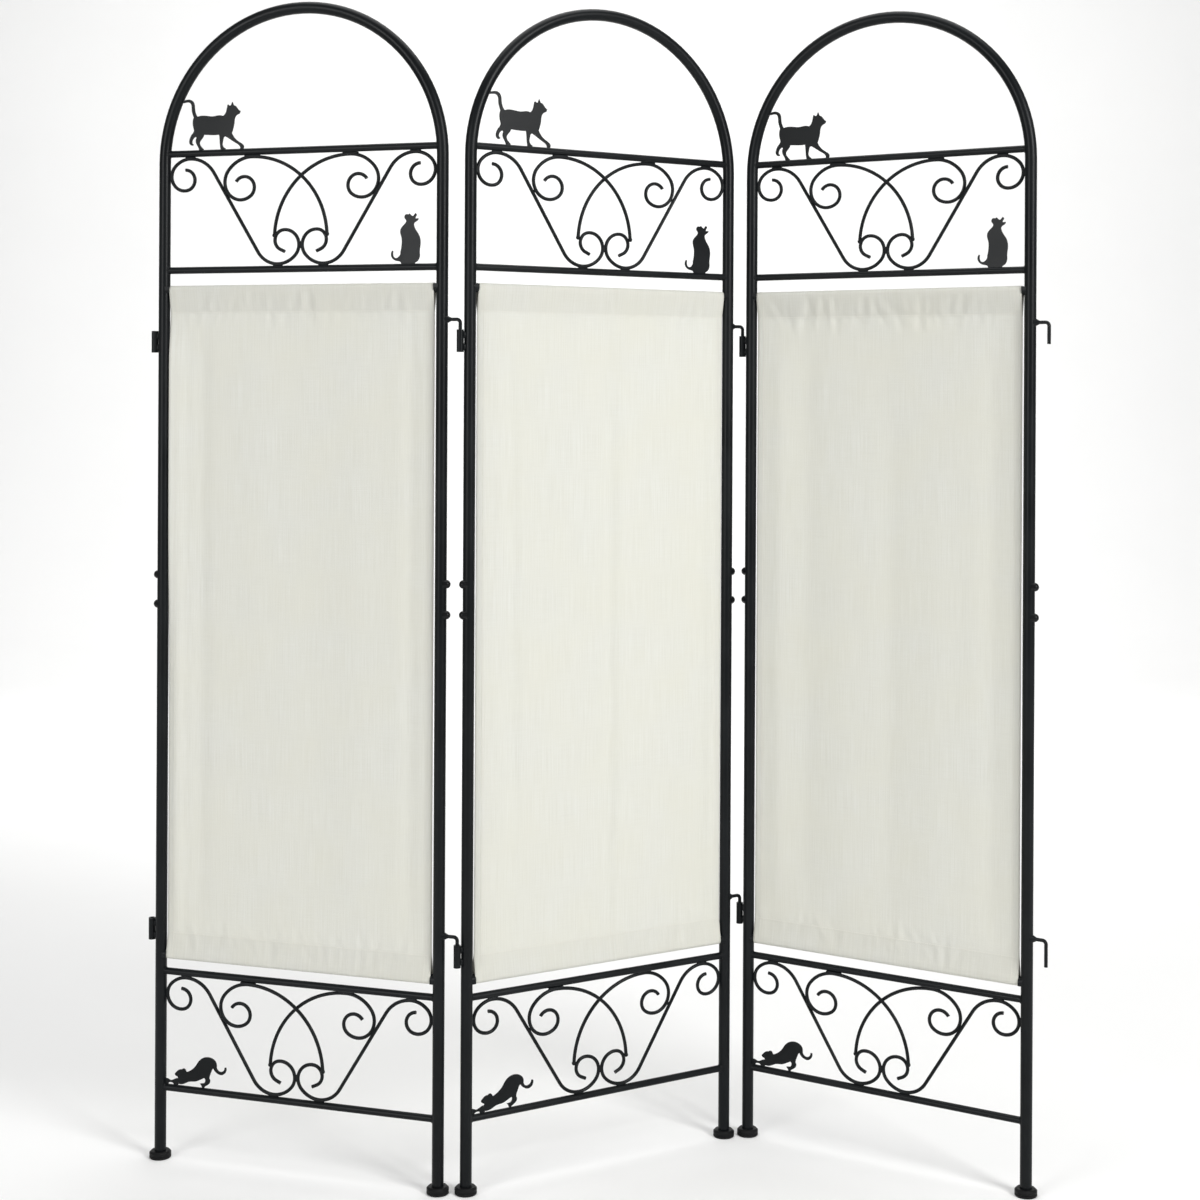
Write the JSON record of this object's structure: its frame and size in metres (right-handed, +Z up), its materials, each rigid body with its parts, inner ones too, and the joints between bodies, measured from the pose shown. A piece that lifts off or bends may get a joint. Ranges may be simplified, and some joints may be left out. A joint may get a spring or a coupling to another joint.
{
  "type": "folding screen",
  "caption": "Folding room screen: hinged arched steel panels with scrollwork and cut-out cats above and below a stretched cream cloth.",
  "frame": {"origin": "centre of the bounding box on the floor, as the screen stands folded in its zigzag", "axes": "+Z up; +X along the screen from its left end to its right end; front faces -Y"},
  "size_m": [1.2254, 0.247, 1.6],
  "materials": {
    "frame_coat": "semi-matt black powder coat",
    "rod_coat": "semi-matt black powder coat",
    "bolt_black": "black, slightly glossy",
    "sleeve_steel": "bright zinc",
    "foot_plastic": "matt black",
    "cloth": "plain-weave cream cotton and linen, hemmed"
  },
  "bodies": {
    "left_panel": {"left_arch_tube": "frame_coat", "left_left_leg": "frame_coat", "left_right_leg": "frame_coat", "left_upper_rails": "frame_coat", "left_lower_rails": "frame_coat", "left_upper_outer_scrolls": "frame_coat", "left_upper_inner_scrolls": "frame_coat", "left_lower_outer_scrolls": "frame_coat", "left_lower_inner_scrolls": "frame_coat", "left_walking_cat": "frame_coat", "left_sitting_cat": "frame_coat", "left_stretching_cat": "frame_coat", "left_hooks": "frame_coat", "left_sockets": "frame_coat", "left_feet": "foot_plastic", "left_joint_bolts": "bolt_black", "left_joint_sleeves": "sleeve_steel", "left_cloth": "cloth", "left_cloth_rods": "rod_coat", "left_rod_cradles": "frame_coat"},
    "centre_panel": {"centre_arch_tube": "frame_coat", "centre_left_leg": "frame_coat", "centre_right_leg": "frame_coat", "centre_upper_rails": "frame_coat", "centre_lower_rails": "frame_coat", "centre_upper_outer_scrolls": "frame_coat", "centre_upper_inner_scrolls": "frame_coat", "centre_lower_outer_scrolls": "frame_coat", "centre_lower_inner_scrolls": "frame_coat", "centre_walking_cat": "frame_coat", "centre_sitting_cat": "frame_coat", "centre_stretching_cat": "frame_coat", "centre_hooks": "frame_coat", "centre_sockets": "frame_coat", "centre_feet": "foot_plastic", "centre_joint_bolts": "bolt_black", "centre_joint_sleeves": "sleeve_steel", "centre_cloth": "cloth", "centre_cloth_rods": "rod_coat", "centre_rod_cradles": "frame_coat"},
    "right_panel": {"right_arch_tube": "frame_coat", "right_left_leg": "frame_coat", "right_right_leg": "frame_coat", "right_upper_rails": "frame_coat", "right_lower_rails": "frame_coat", "right_upper_outer_scrolls": "frame_coat", "right_upper_inner_scrolls": "frame_coat", "right_lower_outer_scrolls": "frame_coat", "right_lower_inner_scrolls": "frame_coat", "right_walking_cat": "frame_coat", "right_sitting_cat": "frame_coat", "right_stretching_cat": "frame_coat", "right_hooks": "frame_coat", "right_sockets": "frame_coat", "right_feet": "foot_plastic", "right_joint_bolts": "bolt_black", "right_joint_sleeves": "sleeve_steel", "right_cloth": "cloth", "right_cloth_rods": "rod_coat", "right_rod_cradles": "frame_coat"}
  },
  "joints": [
    {"name": "left_fold", "type": "hinge", "parent": "centre_panel", "child": "left_panel", "pos_m": [-0.1723, -0.1159, 0.75], "axis": [0, 0, 1], "range_deg": [-32, 127]},
    {"name": "right_fold", "type": "hinge", "parent": "centre_panel", "child": "right_panel", "pos_m": [0.21981, 0.11599, 0.75], "axis": [0, 0, 1], "range_deg": [-18, 141]}
  ]
}
